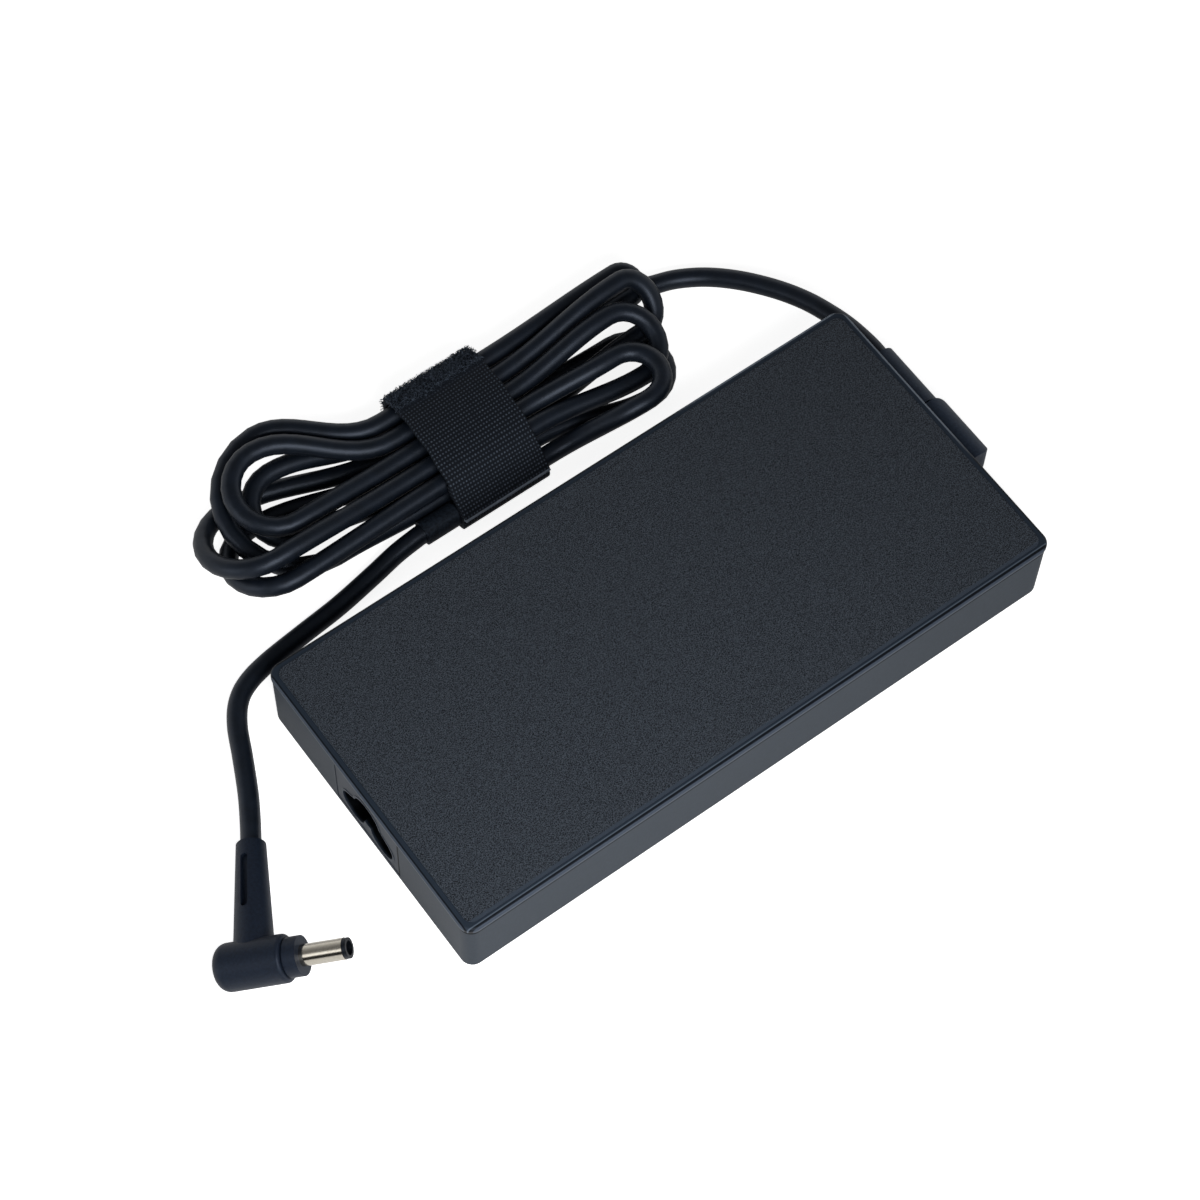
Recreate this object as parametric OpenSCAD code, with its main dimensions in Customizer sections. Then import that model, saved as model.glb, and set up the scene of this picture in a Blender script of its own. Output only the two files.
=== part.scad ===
// Laptop power adapter: slim mains case, output cord tied into a hank, right-angle plug.
// The case lies along X, its inlet at -X and its output cord at +X; Z is up from the table.

/* [Case] */
// Length of the case
case_l = 150; // [145:1:170]
// Width of the case
case_w = 72; // [70:1:84]
// Height of the case
case_h = 19.5; // [19.3:0.1:24]
// Radius of the cover's corners
corner_r = 3; // [2.6:0.1:6]
// Radius of the bottom cover's inner corners
inner_r = 1.2; // [0.8:0.1:2]
// Wall of the bottom cover
wall = 2; // [1.6:0.1:2.2]
// Floor of the bottom cover
floor_t = 2; // [1.6:0.1:2]
// Thickness of the top cover
cover_t = 1.5; // [1.2:0.1:1.7]
// Rounding of the top cover's edge
cover_edge = 0.7; // [0.4:0.1:0.9]
// Rounding of the bottom cover's edge
base_edge = 0.4; // [0.3:0.1:1]
// Step from the top cover's edge in to the bottom cover's wall
shell_inset = 0.2; // [0.1:0.1:0.5]
// Height of the groove along the seam
seam_h = 0.4; // [0.2:0.1:0.6]
// Depth of the groove along the seam
seam_d = 0.5; // [0.3:0.1:0.7]
// Width of the smooth frame round the textured field
frame_w = 1.6; // [1.2:0.1:3]
// Radius of the textured field's corners
field_r = 2; // [1.2:0.1:3]
// Rise of the textured field above its frame
field_rise = 0.2; // [0.1:0.05:0.3]
// Depth of the bare recess on the underside
recess_t = 0.3; // [0.2:0.1:0.6]
// Margin round the recess on the underside
recess_margin = 9; // [7:0.5:14]
// Thickness of the top cover's locating rim
rim_t = 1; // [0.8:0.1:1.2]
// Depth of the top cover's locating rim
rim_h = 1.6; // [1:0.1:1.8]
// Clearance of parts that fit together
fit = 0.1; // [0.05:0.05:0.15]

/* [Inlet] */
// Width of the inlet's panel
panel_w = 22.2; // [22:0.1:25]
// Seam beside the panel on its near side
seam_near = 0.3; // [0.1:0.05:0.4]
// Seam beside the panel on its far side
seam_far = 0.1; // [0.05:0.05:0.3]
// Height at which the panel starts
panel_z = 1.7; // [1.4:0.1:1.8]
// Set-back of the panel from the top cover's edge
panel_back = 0.3; // [0.3:0.1:0.6]
// Thickness of the panel
panel_t = 2.2; // [1.8:0.1:2.6]
// Depth of the inlet's housing behind the panel
housing_d = 15.5; // [14.5:0.5:18]
// Depth of the opening
opening_d = 14.5; // [13:0.5:15]
// Spacing of the two power pins
pole_gap = 10; // [9.8:0.1:10.4]
// Height of the two power pins
pole_z = 6.9; // [6.8:0.1:7.2]
// Height of the earth pin
earth_z = 11.2; // [11:0.1:11.6]
// Radius of the opening round a power pin
pole_lobe_r = 3.9; // [3.6:0.1:4]
// Radius of the opening round the earth pin
earth_lobe_r = 4.4; // [4.2:0.1:4.6]
// Height of the wedge between the two power pins
wedge_z = 8.4; // [8:0.1:8.8]
// Width of the raised lip round the opening
lip_w = 0.6; // [0.4:0.1:0.8]
// Height of the raised lip round the opening
lip_t = 0.1; // [0.05:0.05:0.2]
// Diameter of the inlet's pins
pin_d = 2.4; // [2:0.1:2.6]
// Set-back of the pins' tips from the panel
pin_back = 4.8; // [4.5:0.1:6]
// Length of the pins behind the housing
pin_tail = 3; // [2:0.5:3.5]
// Depth of the dark wedge under the top cover beside the panel
lid_gap = 0.6; // [0.3:0.1:0.8]
// Length of that wedge to each side of the panel
lid_gap_l = 17; // [10:1:20]

/* [Strain relief] */
// Length of the relief's block along the case
relief_l = 16.7; // [14:0.1:20]
// Reach of the block from the bottom cover's wall
relief_out = 7.6; // [6.5:0.1:9]
// Height of the block
relief_h = 9.5; // [8.5:0.1:10.5]
// Height of the relief's axis
relief_z = 9.75; // [9.5:0.05:10.5]
// Shift of the block's middle from the case's middle
relief_y = -0.15; // [-2:0.05:2]
// Rounding of the block's free end
relief_round = 3; // [1:0.1:3.5]
// Length of the sleeve
sleeve_l = 16.3; // [12:0.1:20]
// Diameter of the sleeve
sleeve_d = 8.4; // [7.5:0.1:8.6]
// Reach of the sleeve from the bottom cover's wall
sleeve_out = 6.6; // [6:0.1:6.8]
// Step between block and sleeve
sleeve_step = 0.5; // [0.3:0.1:0.8]
// Width of the relief's neck through the wall
neck_w = 12; // [10:0.5:14]
// Height of the relief's neck through the wall
neck_h = 7; // [6:0.5:8]
// Overhang of the relief's flange inside the wall
flange_over = 1.4; // [1:0.1:1.5]
// Thickness of the relief's flange inside the wall
flange_t = 1.8; // [1.5:0.1:2.2]

/* [Cord] */
// Diameter of the output cord
cord_d = 4.4; // [4:0.1:4.8]
// Pitch of the strands under the strap, in cord diameters
pitch = 1.14; // [1.13:0.01:1.18]
// Rise from the lower to the upper layer of strands, in cord diameters
layer_rise = 1.2; // [1.18:0.01:1.24]
// Hank's middle along the case
hank_x = -6.5; // [-12:0.5:0]
// Distance from the case's wall to the hank's middle
hank_off = 26.8; // [25:0.2:34]

/* [Strap] */
// Width of the hook-and-loop strap
strap_w = 22.3; // [20:0.1:24]
// Thickness of the strap
strap_t = 1.6; // [1.2:0.1:1.7]
// Room between the strap and the strands
strap_gap = 0.2; // [0.15:0.05:0.3]
// Thickness of the strap's overlapping end
overlap_t = 1; // [0.8:0.1:1.4]
// Length of the strap's overlapping end
overlap_l = 6; // [4:0.5:7]
// Diameter of the keeper that holds the strap on the cord
keeper_d = 5.6; // [5.4:0.1:5.6]
// Length of the keeper
keeper_l = 8.5; // [7:0.5:10]

/* [Plug] */
// Place of the plug along the case
plug_x = -110.2; // [-125:0.2:-105]
// Place of the plug across the case
plug_y = -11.6; // [-20:0.2:-5]
// Turn of the plug's barrel from the case's length
plug_turn = -35; // [-45:1:-20]
// Rise of the plug's barrel from level
plug_tilt = 22; // [0:1:25]
// Lean of the boot from square to the barrel
boot_lean = 3.5; // [-5:0.5:10]
// Diameter of the plug's body
body_d = 10; // [9.6:0.1:11]
// Length of the plug's body
body_l = 15.5; // [13:0.5:17]
// Distance from the body's rear to the boot's axis
body_back = 8; // [7:0.1:8.5]
// Rounding of the body's rear edge
body_round = 2.6; // [1.5:0.1:3.5]
// Rounding of the body's front edge
front_round = 0.8; // [0.3:0.1:1]
// Length of the boot from the body's axis
boot_l = 27.5; // [26:0.5:29.5]
// Diameter of the boot where it meets the body
boot_root_d = 8.4; // [7.8:0.1:9]
// Diameter of the boot at the cord
boot_tip_d = 6.3; // [5.6:0.1:6.8]
// Length of the slot in the boot
slot_l = 12.5; // [8:0.5:14]
// Distance from the slot to the cord
slot_back = 3.5; // [2:0.5:5]
// Width of the slot in the boot
slot_w = 1.6; // [1.2:0.1:1.8]
// Depth of the slot in the boot
slot_t = 0.9; // [0.5:0.1:1]
// Turn of the slot from the top of the boot, away from the barrel
slot_turn = 25; // [10:5:45]
// Diameter of the collar
collar_d = 8.3; // [7.8:0.1:8.8]
// Length of the collar
collar_l = 2.9; // [2:0.1:4]
// Diameter of the groove between body and collar
groove_d = 7.6; // [7:0.1:7.7]
// Length of the groove between body and collar
groove_l = 0.3; // [0.2:0.1:0.6]
// Outer diameter of the barrel
barrel_d = 4.5; // [4.4:0.1:5.5]
// Length of the barrel
barrel_l = 10.2; // [8:0.1:12]
// Bore of the barrel's metal shell
shell_bore = 3.8; // [3.6:0.1:3.9]
// Bore of the insulator, the hole of the plug
plug_bore = 3; // [2.6:0.1:3.2]
// Length of the insulator's ring at the tip
tip_ring_t = 0.9; // [0.5:0.1:1.2]
// Step from the barrel down to that ring
tip_step = 0.1; // [0.05:0.05:0.2]
// Diameter of the centre contact
center_d = 0.8; // [0.6:0.1:1]
// Set-back of the centre contact from the tip
center_back = 1; // [0.5:0.1:2]

/* [Board] */
// Thickness of the circuit board
board_t = 1.6; // [1.2:0.1:1.8]
// Height of the board above the floor
board_lift = 2; // [1.6:0.1:2]
// Thickness of the insulating liner
liner_t = 0.4; // [0.2:0.1:0.6]
// Diameter of the board's posts
post_d = 5; // [4:0.5:6]
// Diameter of the pegs on the posts
peg_d = 2.2; // [1.8:0.1:2.6]
// Thickness of the heat spreader
spreader_t = 0.6; // [0.4:0.1:0.7]
// Depth of the heat spreader's side flanges
spreader_side = 8; // [6:0.5:8.5]
// Thickness of the thermal pads
pad_t = 0.6; // [0.4:0.1:0.8]

/* [Mains side] */
// Length of the fuse
fuse_l = 8.5; // [7:0.5:9]
// Width of the fuse
fuse_w = 4; // [3:0.5:5]
// Height of the fuse
fuse_h = 8; // [6:0.5:9]
// Room between the varistor and the heat spreader
varistor_room = 1.1; // [0.5:0.1:2.5]
// Diameter of the thermistor
thermistor_d = 8.5; // [7:0.5:9]
// Thickness of the disc parts
disc_t = 3.5; // [3:0.5:4]
// Outer diameter of the filter chokes' cores
choke_d = 14; // [12:0.5:15]
// Bore of the filter chokes' cores
choke_bore = 7.5; // [6.5:0.5:8]
// Height of the filter chokes' cores
choke_h = 7; // [6:0.5:8]
// Thickness of the filter chokes' windings
choke_wind = 1; // [0.6:0.1:1.2]
// Length of the mains filter's box capacitor
box_cap_l = 18; // [16:0.5:19]
// Width of the mains filter's box capacitor
box_cap_w = 7.5; // [6:0.5:8]
// Room between the box capacitor and the heat spreader
box_cap_room = 1.1; // [0.5:0.1:2.5]
// Length of the bridge rectifier
bridge_l = 15; // [13:0.5:16]
// Thickness of the bridge rectifier
bridge_t = 3.5; // [3:0.5:4]
// Room between the bridge rectifier and the heat spreader
bridge_room = 1.6; // [0.5:0.1:3]

/* [Power conversion] */
// Side of the power-factor inductor
boost_w = 19; // [16:0.5:19.5]
// Room between the power-factor inductor and the heat spreader
boost_room = 1.1; // [0.5:0.1:2.5]
// Diameter of the bulk capacitor
bulk_d = 13; // [11:0.5:13.5]
// Length of the bulk capacitor
bulk_l = 36; // [30:1:38]
// Length of the heat sinks
sink_l = 26; // [22:0.5:27]
// Thickness of the heat sinks
sink_t = 1.6; // [1.2:0.1:2]
// Width of a power semiconductor's package
package_w = 10; // [9:0.5:11]
// Thickness of a power semiconductor's package
package_t = 4.4; // [4:0.1:4.8]
// Width of the transformer's core
core_w = 25; // [22:0.5:25.5]
// Depth of the transformer's core
core_l = 18; // [15:0.5:19]
// Thickness of the transformer's core plates
core_plate = 2.8; // [2.4:0.1:3]
// Diameter of the transformer's centre leg
leg_d = 9; // [8:0.5:10]
// Wall of the bobbin
bobbin_t = 0.8; // [0.6:0.1:1]
// Thickness of the transformer's winding
winding_t = 3; // [2:0.1:3.2]

/* [Output side] */
// Diameter of the output capacitors
out_cap_d = 8; // [7:0.5:8.5]
// Pitch of the output capacitors
out_cap_pitch = 9.5; // [9:0.5:10]
// Diameter of the output choke
out_choke_d = 11; // [9:0.5:12]
// Height of the output choke
out_choke_h = 8; // [6:0.5:9]
// Side of the optocoupler
opto_w = 4.6; // [4:0.1:5]
// Height of the optocoupler and control chips
chip_h = 3; // [1.5:0.1:3.5]
// Side of the control chips
chip_w = 5; // [4:0.5:6]
// Diameter of the inner wires
wire_d = 1.6; // [1.2:0.1:2]
// Diameter of component leads
lead_d = 0.8; // [0.6:0.1:1]

/* [Hidden] */

$fn = 96;
cut = 1;
gap = 0.4;

// Case
seam_z = case_h - cover_t;
shell_l = case_l - 2 * shell_inset;
shell_w = case_w - 2 * shell_inset;
shell_r = corner_r - shell_inset;
in_l = shell_l - 2 * wall;
in_w = shell_w - 2 * wall;
wall_x = shell_l / 2;
rim_l = in_l - 2 * fit;
rim_w = in_w - 2 * fit;
rim_r = inner_r - fit;

// Inlet
panel_x = -case_l / 2 + panel_back;
panel_top = seam_z - fit;
housing_x = panel_x + panel_t + housing_d;
housing_w = panel_w - 1.8;
housing_top = panel_top - 0.9;
flange_w = panel_w + 3.8;
flange_top = seam_z - rim_h - gap;
tail_d = pin_d - 0.8;
pin_root_d = pin_d + 0.6;
pin_root_x = panel_x + opening_d;

// Strain relief
relief_end = relief_y + relief_l / 2;
sleeve_end = relief_end + sleeve_l;
flange_x = in_l / 2 - flange_t;

// Board and what stands on it
board_z = floor_t + board_lift;
board_top = board_z + board_t;
board_x0 = housing_x + 0.6;
board_x1 = flange_x - 1.9;
spreader_w = rim_w - 2 * rim_t - 1.2;
board_w = spreader_w - 2 * spreader_t - 2 * gap;
spreader_z = seam_z - 2 * fit - spreader_t;
pad_z = spreader_z - pad_t;
tall_z = spreader_z - gap;
post_x0 = board_x0 + 6;
post_x1 = board_x1 - 4;
post_y = in_w / 2 - 6.7;
sink_y = board_w / 2 - 3;
low_z = floor_t + liner_t + gap;

// Places on the board: the mains side and the conversion follow from the inlet's end, the output
// side from the cord's end
edge_y = board_w / 2;
head_z = spreader_z - board_top;
fuse_at = [board_x0 + 9, -17];
varistor_at = [board_x0 + 9, 12];
thermistor_at = [board_x0 + 15, 6.5];
choke_y = edge_y - choke_d / 2 - choke_wind - 0.5;
choke_at = [[board_x0 + 20.5, -choke_y], [board_x0 + 20.5, choke_y]];
box_cap_at = [board_x0 + 23, -2];
y_cap_at = [[board_x0 + 25, 6.5], [board_x0 + 20, 6.5]];
y_cap_d = 7;
bridge_at = [board_x0 + 34, edge_y - bridge_l / 2 - 1];
boost_at = [bridge_at[0] + 0.5 + boost_w / 2, boost_w / 2 + 2.5 - edge_y];
bulk_at = [bridge_at[0] + 3 + bulk_l / 2, 8];
transformer_at = [boost_at[0] + boost_w / 2 + 1 + core_w / 2, 15 - edge_y];
primary_x = board_x0 + 54;
beside_bulk = bulk_at[1] + bulk_d / 2 + 1.4 + chip_w / 2;
opto_at = [transformer_at[0] + 10, beside_bulk];
output_x = board_x1 - 20;
out_cap_at = [board_x1 - 26, 10 - edge_y];
out_choke_at = [board_x1 - 26, 10];
chips_at = [[transformer_at[0] + 2, beside_bulk], [board_x1 - 14, 8]];
wire_y = 2;

// Hank: the cord's wall-to-hank run, its lobes and its run to the plug
hank_y = case_w / 2 + hank_off;
waist_x0 = hank_x - strap_w / 2 - 0.4 * cord_d;
waist_x1 = hank_x + strap_w / 2 + 0.4 * cord_d;
low_z_strand = cord_d / 2 + strap_gap + strap_t;
cord_reach = 3.6;
lying_z = cord_d / 2 + 0.02;
check_steps = 12;
band_steps = 12;
overlap_from = 0.3;
exit_at = [wall_x + cord_reach, sleeve_end, relief_z];
hank_start = [hank_x + 13.3 * cord_d, hank_y + 2.3 * cord_d, cord_d / 2];
start_heading = [-0.93, 0.36, 0];
keeper_x = hank_x - strap_w / 2 - keeper_l;
hank_end = [keeper_x - 1, hank_y - 2.5 * pitch * cord_d, low_z_strand];

// Shares of the way from the case's exit to the hank: along, across and down
RUN = [[0, 0.09, 0], [0.02, 0.22, 0.05], [0.06, 0.34, 0.15], [0.12, 0.47, 0.31], [0.23, 0.61, 0.49],
    [0.395, 0.76, 0.71], [0.58, 0.88, 0.91], [0.795, 0.96, 0.99]];

// Share of an arm's length over which it keeps straight at the strap and at its lobe
arm_root = 0.4;
arm_end = 0.35;

// Lobes of the hank in the order the cord is wound. Side of the strap; column and layer of the
// strand that goes out and of the one that comes back; then, in cord diameters from the hank's
// middle, the lobe's centre, its radius and the height of its two shoulders.
LOBES = [
    [-1, 5, 0, 2, 0, -9, 1.9, 1.9, 2, 1.5],
    [1, 2, 0, 4, 1, 11, 0.9, 1.1, 1.6, 3.4],
    [-1, 4, 1, 3, 1, -9.4, 2.5, 2.1, 3.3, 2.7],
    [1, 3, 1, 1, 1, 9.4, -0.8, 1.6, 3.2, 1.9],
    [-1, 1, 1, 3, 0, -11.1, 0.3, 2.2, 2.2, 0.5],
    [1, 3, 0, 1, 0, 9.4, -1.2, 1.8, 0.5, 0.5],
    [-1, 1, 0, 5, 1, -8.6, 2.1, 3.6, 1.1, 2.5],
    [1, 5, 1, 4, 0, 11.5, 2.4, 0.7, 2.2, 1.8],
    [-1, 4, 0, 2, 1, -11.5, 1.5, 2.4, 0.8, 3.1],
    [1, 2, 1, 0, 0, 8.3, -2.7, 1.5, 3, 3.1]
];

// Points of the run from the hank to the plug: the first from the hank's end, the last from the boot
AFTER_HANK = [[-6, -0.3, 0.52], [-13, -1.4, 0.1], [-23, -3.1, 0], [-33, -4.2, 0]];
BEFORE_BOOT = [[26, 33.2, 0], [20, 31.6, 0], [16, 29, 0], [12.8, 24.6, 0],
    [9.8, 18.1, 0.05], [6, 10.2, 0.3]];

// Plug, along its barrel from the body's middle
groove_x = body_l - body_back;
collar_x = groove_x + groove_l;
tip_x = collar_x + collar_l + barrel_l;
barrel_root_d = barrel_d - 0.4;
plug_z = (body_back - body_round) * sin(plug_tilt) + (body_d / 2 - body_round) * cos(plug_tilt) + body_round;
boot_dir = plug_turn + 90 + boot_lean;
boot_lift = 0.1;
boot_drop = asin((plug_z - boot_tip_d / 2 - boot_lift) / boot_l);
boot_heading = [cos(boot_drop) * cos(boot_dir), cos(boot_drop) * sin(boot_dir), -sin(boot_drop)];
boot_end = [plug_x, plug_y, plug_z] + boot_l * boot_heading;

// ---------------------------------------------------------------- shapes used by several pieces

// Plan of a slab with rounded corners
module plan(l, w, r) {
    square([l - 2 * r, w], center = true);
    square([l, w - 2 * r], center = true);
    for (sx = [-1, 1], sy = [-1, 1])
        translate([sx * (l / 2 - r), sy * (w / 2 - r)]) circle(r);
}

module slab(l, w, r, h) {
    linear_extrude(h) plan(l, w, r);
}

// Section across a slab whose upper edges are rounded by e
module edge_section(w, h, e) {
    translate([-w / 2, 0]) square([w, h - e]);
    translate([e - w / 2, 0]) square([w - 2 * e, h]);
    for (s = [-1, 1]) translate([s * (w / 2 - e), h - e]) circle(e);
}

// Slab with rounded corners of radius r and its upper edge rounded by e
module soft_slab(l, w, r, h, e) {
    for (sx = [-1, 1], sy = [-1, 1])
        translate([sx * (l / 2 - r), sy * (w / 2 - r), 0])
            rotate_extrude() intersection() {
                edge_section(2 * r, h, e);
                square([r, h]);
            }
    translate([r - l / 2, 0, 0]) rotate([90, 0, 90]) linear_extrude(l - 2 * r) edge_section(w, h, e);
    translate([0, w / 2 - r, 0]) rotate([90, 0, 0]) linear_extrude(w - 2 * r) edge_section(l, h, e);
}

// Box from a corner, by its size
module box_at(x, y, z, l, w, h) {
    translate([x, y, z]) cube([l, w, h]);
}

// Box standing on the board, by the middle of its foot
module on_board(at, l, w, h) {
    translate([at[0] - l / 2, at[1] - w / 2, board_top]) cube([l, w, h]);
}

// Disc part standing on its two leads, its axis along X
module disc_on_leads(at, d, t) {
    translate([at[0], at[1], board_top + 1 + d / 2]) rotate([0, 90, 0]) cylinder(d = d, h = t, center = true);
    for (s = [-1, 1]) translate([at[0], at[1] + s * d / 4, board_top]) cylinder(d = lead_d, h = 1 + d / 2);
}

// Ring with its axis along Z
module ring(d, bore, h) {
    difference() {
        cylinder(d = d, h = h);
        translate([0, 0, -cut]) cylinder(d = bore, h = h + 2 * cut);
    }
}

// Wire that comes in along X and turns down to the board
module wire_to_board(x0, x1, y, z) {
    translate([min(x0, x1), y, z]) rotate([0, 90, 0]) cylinder(d = wire_d, h = abs(x1 - x0));
    translate([x1, y, z]) sphere(d = wire_d);
    translate([x1, y, board_top]) cylinder(d = wire_d, h = z - board_top);
}

// ---------------------------------------------------------------- paths and tubes of the cord

function unit(v) = v / norm(v);

function bezier(a, b, c, e, t) =
    pow(1 - t, 3) * a + 3 * t * pow(1 - t, 2) * b + 3 * t * t * (1 - t) * c + pow(t, 3) * e;

// Smooth curve through points, n steps to each
function through(p, n) = [for (i = [0 : len(p) - 2], k = [0 : n - 1])
    let (t = k / n, b = p[i], c = p[i + 1],
        a = i > 0 ? p[i - 1] : 2 * b - c,
        e = i < len(p) - 2 ? p[i + 2] : 2 * c - b)
    0.5 * (2 * b + (c - a) * t + (2 * a - 5 * b + 4 * c - e) * t * t + (3 * b - a - 3 * c + e) * t * t * t),
    p[len(p) - 1]];

// Strand at the strap's edge, by its column and layer
function strand(x, column, layer) =
    [x, hank_y + (column - 2.5) * pitch * cord_d, low_z_strand + layer * layer_rise * cord_d];

// One lobe: out along its arm, round its tip and back to the strap, arm and tip steps to each
function lobe(row, arm, tip) =
    let (s = row[0], x = s < 0 ? waist_x0 : waist_x1,
        a = strand(x, row[1], row[2]), b = strand(x, row[3], row[4]), up = a[1] > b[1] ? 1 : -1,
        mid = [hank_x + row[5] * cord_d, hank_y + row[6] * cord_d, 0], r = row[7] * cord_d,
        za = row[8] * cord_d, zb = row[9] * cord_d,
        ta = mid + [0, up * r, za], tb = mid + [0, -up * r, zb],
        la = [s * norm(ta - a), 0, 0], lb = [s * norm(tb - b), 0, 0])
    concat([for (k = [0 : arm - 1]) bezier(a, a + arm_root * la, ta - arm_end * la, ta, k / arm)],
        [for (k = [0 : tip - 1]) let (u = 180 * k / tip)
            mid + [s * r * sin(u), up * r * cos(u), za + (zb - za) * (1 - cos(u)) / 2]],
        [for (k = [0 : arm]) bezier(tb, tb - arm_end * lb, b + arm_root * lb, b, k / arm)]);

// The whole hank, from the run off the case to the end that leaves through the keeper
function hank_path(arm, tip) =
    let (p = hank_start, q = strand(waist_x1, LOBES[0][1], LOBES[0][2]), l = norm(q - p))
    concat([for (k = [0 : arm - 1])
            bezier(p, p + 0.3 * l * unit(start_heading), q + [0.35 * l, 0, 0], q, k / arm)],
        [q], [for (row = LOBES) each lobe(row, arm, tip)], [hank_end]);

function case_run_path(n) =
    let (way = hank_start - exit_at)
    through(concat([exit_at], [for (f = RUN) [for (k = [0 : 2]) exit_at[k] + f[k] * way[k]]],
        [hank_start]), n);

// Point beside an end of the cord: along, across and its share of the end's height above the table
function beside(end, v) = [end[0] + v[0], end[1] + v[1], lying_z + v[2] * (end[2] - lying_z)];

function plug_run_path(n) =
    through(concat([hank_end],
        [for (v = AFTER_HANK) beside(hank_end, v)], [for (v = BEFORE_BOOT) beside(boot_end, v)],
        [boot_end + 1.2 * cord_d * boot_heading, boot_end]), n);

// Least distance between parts of a path more than far steps apart along it
function least_gap(p, far) = min([for (i = [0 : len(p) - 1 - far])
    min([for (j = [i + far : len(p) - 1]) norm(p[i] - p[j])])]);

function path_length(p) = len(p) < 2 ? 0 : [for (i = 1, s = norm(p[1] - p[0]); i < len(p);
    i = i + 1, s = i < len(p) ? s + norm(p[i] - p[i - 1]) : s) s][len(p) - 2];

// Round tube along a path, as rings joined by triangles
module tube(p, d, sides) {
    n = len(p);
    points = [for (i = [0 : n - 1])
        let (way = unit(p[min(i + 1, n - 1)] - p[max(i - 1, 0)]), side = unit(cross(way, [0, 0, 1])),
            up = cross(side, way))
        for (k = [0 : sides - 1]) p[i] + d / 2 * (cos(360 * k / sides) * side + sin(360 * k / sides) * up)];
    walls = [for (i = [0 : n - 2], k = [0 : sides - 1])
        let (a = i * sides + k, b = i * sides + (k + 1) % sides, c = a + sides, e = b + sides)
        each [[a, b, e], [a, e, c]]];
    first = [for (k = [0 : sides - 1]) sides - 1 - k];
    last = [for (k = [0 : sides - 1]) (n - 1) * sides + k];
    polyhedron(points, concat([first, last], walls));
}

// ---------------------------------------------------------------- case

module top_cover() {
    color("#2e3338") {
        translate([0, 0, seam_z]) soft_slab(case_l, case_w, corner_r, cover_t - field_rise, cover_edge);
        translate([0, 0, case_h - field_rise])
            slab(case_l - 2 * frame_w, case_w - 2 * frame_w, field_r, field_rise);
        difference() {
            translate([0, 0, seam_z - rim_h]) slab(rim_l, rim_w, rim_r, rim_h);
            translate([0, 0, seam_z - rim_h - cut])
                slab(rim_l - 2 * rim_t, rim_w - 2 * rim_t, rim_r / 2, rim_h + cut);
            box_at(-case_l / 2, -flange_w / 2 - gap, seam_z - rim_h - cut, case_l / 2 + housing_x + gap,
                flange_w + 2 * gap, rim_h + cut);
        }
    }
}

// Notch for the inlet's panel, and the thin dark wedges beside it under the top cover
module inlet_notch() {
    box_at(-case_l / 2, -panel_w / 2 - seam_near, panel_z, case_l / 2 - in_l / 2 + cut,
        panel_w + seam_near + seam_far, case_h);
    translate([-case_l / 2, 0, 0]) rotate([90, 0, 90]) linear_extrude(case_l / 2 - in_l / 2 + cut)
        for (s = [-1, 1])
            polygon([[s * panel_w / 2, seam_z + cut], [s * panel_w / 2, seam_z - lid_gap],
                [s * (panel_w / 2 + lid_gap_l), seam_z], [s * (panel_w / 2 + lid_gap_l), seam_z + cut]]);
}

module bottom_cover() {
    color("#3b4147") {
        difference() {
            translate([0, 0, seam_z]) mirror([0, 0, 1])
                soft_slab(shell_l, shell_w, shell_r, seam_z, base_edge);
            translate([0, 0, floor_t]) slab(in_l, in_w, inner_r, case_h);
            translate([0, 0, seam_z - seam_h]) difference() {
                slab(case_l, case_w, corner_r, seam_h + cut);
                slab(shell_l - 2 * seam_d, shell_w - 2 * seam_d, shell_r - seam_d, seam_h + cut);
            }
            inlet_notch();
            box_at(in_l / 2 - cut, relief_y - neck_w / 2, relief_z - neck_h / 2, wall + 2 * cut,
                neck_w, neck_h);
            translate([0, 0, -cut])
                slab(case_l - 2 * recess_margin, case_w - 2 * recess_margin, 3, recess_t + cut);
        }
        for (x = [post_x0, post_x1], s = [-1, 1]) translate([x, s * post_y, floor_t]) {
            cylinder(d = post_d, h = board_lift);
            cylinder(d = peg_d, h = board_lift + board_t + 1);
        }
    }
}

// ---------------------------------------------------------------- inlet

// Cloverleaf opening seen from the end, grown by g all round
module clover(g) {
    for (s = [-1, 1]) translate([s * pole_gap / 2, pole_z]) circle(pole_lobe_r + g);
    translate([0, earth_z]) circle(earth_lobe_r + g);
    polygon([[-pole_gap / 2, pole_z], [-pole_gap / 2 - 1.9, pole_z + 3.4 + g],
        [-earth_lobe_r - g, earth_z + 0.8], [earth_lobe_r + g, earth_z + 0.8],
        [pole_gap / 2 + 1.9, pole_z + 3.4 + g], [pole_gap / 2, pole_z],
        [1.3, wedge_z - 0.5], [0, wedge_z], [-1.3, wedge_z - 0.5]]);
}

// A solid with the plan given for the end, running from x along X for l
module along(x, l) {
    translate([x, 0, 0]) rotate([90, 0, 90]) linear_extrude(l) children();
}

module inlet_housing() {
    color("#4a5056") difference() {
        union() {
            box_at(panel_x, -panel_w / 2, panel_z, panel_t, panel_w, panel_top - panel_z);
            box_at(panel_x + panel_t, -housing_w / 2, floor_t, housing_d, housing_w, housing_top - floor_t);
            box_at(fit - in_l / 2, -flange_w / 2, floor_t, 1.4, flange_w, flange_top - floor_t);
            along(panel_x - lip_t, lip_t) clover(lip_w);
        }
        along(panel_x - lip_t - cut, opening_d + lip_t + cut) clover(0);
        for (at = [[-pole_gap / 2, pole_z], [pole_gap / 2, pole_z], [0, earth_z]])
            translate([panel_x + opening_d, at[0], at[1]]) rotate([0, 90, 0])
                cylinder(d = pin_root_d, h = panel_t + housing_d);
    }
}

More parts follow.
